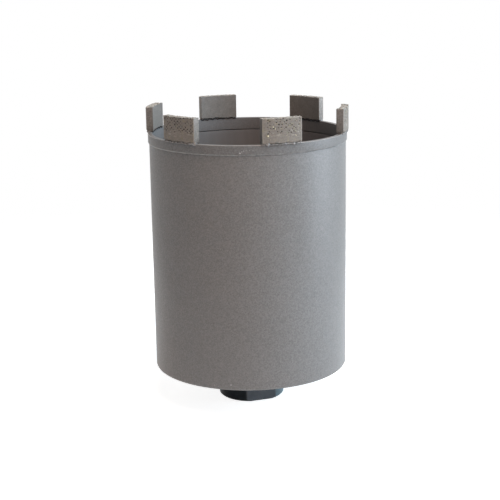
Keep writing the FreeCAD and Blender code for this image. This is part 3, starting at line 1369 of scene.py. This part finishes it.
grit = {
    "Spacing": 1.7 * mm,
    "Density": 260000.0,
    "Least Radius": 0.13 * mm,
    "Most Radius": 0.20 * mm,
    "Sink": 0.12 * mm,
    "Seed": 4,
    # bare crystals that show on the front segment: across, above the crown ring, and their radius, all in mm
    "shown": [(-5.7, 10.1, 0.42), (-4.5, 9.0, 0.36), (-8.6, 5.1, 0.56), (8.0, 4.7, 0.36), (2.4, 5.1, 0.26)],
    "shownSink": 0.18 * mm,
}


def crystalMesh():
    # a cube with its corners cut off to the middles of its edges
    side = math.sqrt(2.0)
    work = bmesh.new()
    bmesh.ops.create_cube(work, size=side)
    bmesh.ops.bevel(work, geom=work.verts, offset=side / 2, affect="VERTICES", segments=1)
    bmesh.ops.remove_doubles(work, verts=work.verts, dist=0.01)
    bmesh.ops.recalc_face_normals(work, faces=work.faces)
    mesh = bpy.data.meshes.new("crystal")
    work.to_mesh(mesh)
    work.free()
    return mesh


def makeGritTree():
    # crystals scattered over the outer faces and the tops, sunk into the matrix, and some at chosen places
    tree, given = newShape("diamondScatter", {**grit, "Crystal": "Object", "Chosen Places": "Object"})

    def meshOf(name):
        return addNode(tree, "GeometryNodeObjectInfo", {"Object": given[name]})["Geometry"]

    def randomValue(kind, inputs):
        return addNode(tree, "FunctionNodeRandomValue", inputs, data_type=kind)["Value"]

    def planted(points, size, shine):
        crystals = addNode(tree, "GeometryNodeInstanceOnPoints", {
            "Points": points, "Instance": crystal, "Rotation": spin, "Scale": size})["Instances"]
        return store(crystals, "shine", shine, "INSTANCE")

    spread = addNode(tree, "GeometryNodeDistributePointsOnFaces", {
        "Mesh": given["Geometry"], "Selection": stored(tree, "outer") + stored(tree, "top") > 0.9,
        "Distance Min": given["Spacing"], "Density Max": given["Density"], "Seed": given["Seed"],
    }, distribute_method="POISSON")
    sunk = moved(spread["Points"], "Offset", scaled(spread["Normal"], -given["Sink"]))
    chosen = addNode(tree, "GeometryNodeMeshToPoints", {"Mesh": meshOf("Chosen Places")})["Points"]
    crystal = meshOf("Crystal")
    spin = randomValue("FLOAT_VECTOR", {"Max": (6.28, 6.28, 6.28), "Seed": given["Seed"]})
    radii = {"Min": given["Least Radius"], "Max": given["Most Radius"], "Seed": given["Seed"]}
    size = randomValue("FLOAT", radii)
    shine = remap(randomValue("FLOAT", {"Min": 0.0, "Max": 1.0, "Seed": 9}), 0.90, 0.94, 0.0, 0.8)
    both = [planted(sunk, size, shine), planted(chosen, stored(tree, "ownRadius"), 1.0)]
    return endShape(addNode(tree, "GeometryNodeJoinGeometry", {"Geometry": both})["Geometry"], given)


def buildGrit(values):
    work = bmesh.new()
    for mesh in segmentMeshes:
        work.from_mesh(mesh)
    faces = bpy.data.meshes.new("gritBase")
    work.to_mesh(faces)
    work.free()
    radius = -segmentLow.y - segment["Relief"] - values["shownSink"]
    places = []
    sizes = []
    for across, above, size in values["shown"]:
        depth = math.sqrt(radius * radius - (across * mm) ** 2)
        places.append((across * mm, -depth, ringHigh.z + above * mm))
        sizes.append(size * mm)
    crystal = addObject("crystal", crystalMesh())
    chosen = addObject("chosenPlaces", plainMesh("chosenPlaces", places, ownRadius=sizes))
    mesh = growMesh("diamond_grit", makeGritTree(), {
        **values, "Crystal": crystal, "Chosen Places": chosen, "Material": diamondGrit}, faces)
    for helper in (crystal, chosen):
        bpy.data.objects.remove(helper)
    mesh.polygons.foreach_set("use_smooth", [False] * len(mesh.polygons))
    print("  ", mesh.name, len(mesh.polygons), "faces")
    keepPiece(mesh, "segment_metal")


buildGrit(grit)
print("diamond grit built")


# Studio

studio = {
    "floorHalf": 6.0,
    "floorDrop": 0.05 * mm,
    "floorColour": (0.9, 0.9, 0.9, 1),
    "floorGlow": 0.88,
    "floorFade": (0.22, 0.60),    # from the axis: where the floor starts to fade, and where it's gone
    "background": (1.0, 1.0, 1.0, 1),
    "ambient": (0.015, 0.015, 0.015, 1),
}

lamps = {
    "key softbox": {
        "azimuth": 62.0, "elevation": 36.0, "distance": 2.4, "size": (1.4, 1.8), "power": 33.0,
        "colour": (0.38, 0.77, 1.0),
    },
    "low right softbox": {
        "azimuth": 70.0, "elevation": 12.0, "distance": 1.0, "size": (0.5, 0.6), "power": 6.2,
        "colour": (0.76, 0.87, 1.0),
    },
    "front overhead": {
        "azimuth": 15.0, "elevation": 58.0, "distance": 2.6, "size": (1.8, 1.8), "power": 52.0,
        "colour": (1.0, 0.80, 0.69),
    },
    "back fill": {
        "azimuth": -150.0, "elevation": 35.0, "distance": 1.1, "size": (0.8, 0.8), "power": 1.3,
        "colour": (1.0, 0.96, 0.93),
    },
}

cameraView = {
    "azimuth": -19.08,      # degrees round the axis; 0 looks along +Y
    "distance": 0.7669,     # from the axis, along the floor
    "height": 0.2781,
    "tilt": 13.625,         # degrees below the horizon
    "pan": 0.03,
    "roll": -0.95,
    "lens": 91.6,
}


def lookRotation(azimuth, tilt, pan=0.0, roll=0.0):
    rotation = Matrix.Identity(3)
    for degrees, axis in ((azimuth - pan, "Z"), (90 - tilt, "X"), (roll, "Z")):
        rotation = rotation @ Matrix.Rotation(math.radians(degrees), 3, axis)
    return rotation


def seenShare(tree):
    # 1 for what the camera sees, in a reflection or through glass too
    path = addNode(tree, "ShaderNodeLightPath")
    return largest(path["Is Camera Ray"], path["Is Glossy Ray"], path["Is Transmission Ray"])


def buildFloor(values):
    material, tree = newMaterial("paleFloor")
    seen = seenShare(tree)
    matt = addNode(tree, "ShaderNodeBsdfDiffuse", {"Color": values["floorColour"]})["BSDF"]
    inputs = {"Color": values["background"], "Strength": seen * values["floorGlow"]}
    glow = addNode(tree, "ShaderNodeEmission", inputs)["Emission"]
    both = addNode(tree, "ShaderNodeAddShader", {0: matt, 1: glow})["Shader"]
    away = vectorCalc("LENGTH", objectPlace(tree))
    faded = remap(away, *values["floorFade"], curve="SMOOTHSTEP") * seen
    hidden = largest(addNode(tree, "ShaderNodeNewGeometry")["Backfacing"], faded)
    clear = addNode(tree, "ShaderNodeBsdfTransparent")["BSDF"]
    sided = addNode(tree, "ShaderNodeMixShader", {0: hidden, 1: both, 2: clear})["Shader"]
    addNode(tree, "ShaderNodeOutputMaterial", {"Surface": sided})
    half = values["floorHalf"]
    corners = [(x * half, y * half, -values["floorDrop"]) for x, y in ((-1, -1), (1, -1), (1, 1), (-1, 1))]
    mesh = plainMesh("floor", corners, [(0, 1, 2, 3)])
    mesh.materials.append(material)
    floor = addObject("floor", mesh)


def buildWorld(values):
    world = bpy.data.worlds.new("studioWorld")
    tree = emptyTree(world)
    inputs = [{"Color": values[name], "Strength": 1.0} for name in ("ambient", "background")]
    soft, white = [addNode(tree, "ShaderNodeBackground", own)["Background"] for own in inputs]
    mixed = addNode(tree, "ShaderNodeMixShader", {0: seenShare(tree), 1: soft, 2: white})["Shader"]
    addNode(tree, "ShaderNodeOutputWorld", {"Surface": mixed})
    bpy.context.scene.world = world


def buildLamp(name, values):
    lamp = bpy.data.lights.new(name, "AREA")
    lamp.shape = "RECTANGLE"
    lamp.size, lamp.size_y = values["size"]
    lamp.energy = values["power"]
    lamp.color = values["colour"]
    rotation = lookRotation(values["azimuth"], values["elevation"])
    middle = Vector((0, 0, (cadBox[0].z + cadBox[1].z) / 2))
    spot = middle + rotation @ Vector((0, 0, values["distance"]))
    addObject(name, lamp).matrix_world = Matrix.Translation(spot) @ rotation.to_4x4()


def buildCamera(values):
    lens = bpy.data.cameras.new("camera")
    lens.lens = values["lens"]
    lens.clip_start = 0.01
    camera = addObject("camera", lens)
    azimuth = math.radians(values["azimuth"])
    distance = values["distance"]
    spot = Vector((math.sin(azimuth) * distance, -math.cos(azimuth) * distance, values["height"]))
    rotation = lookRotation(values["azimuth"], values["tilt"], values["pan"], values["roll"])
    camera.matrix_world = Matrix.Translation(spot) @ rotation.to_4x4()
    bpy.context.scene.camera = camera


buildFloor(studio)
buildWorld(studio)
for lampName, lampValues in lamps.items():
    buildLamp(lampName, lampValues)
buildCamera(cameraView)
bpy.context.scene.view_settings.view_transform = "Standard"
print("studio built")

bpy.context.view_layer.update()
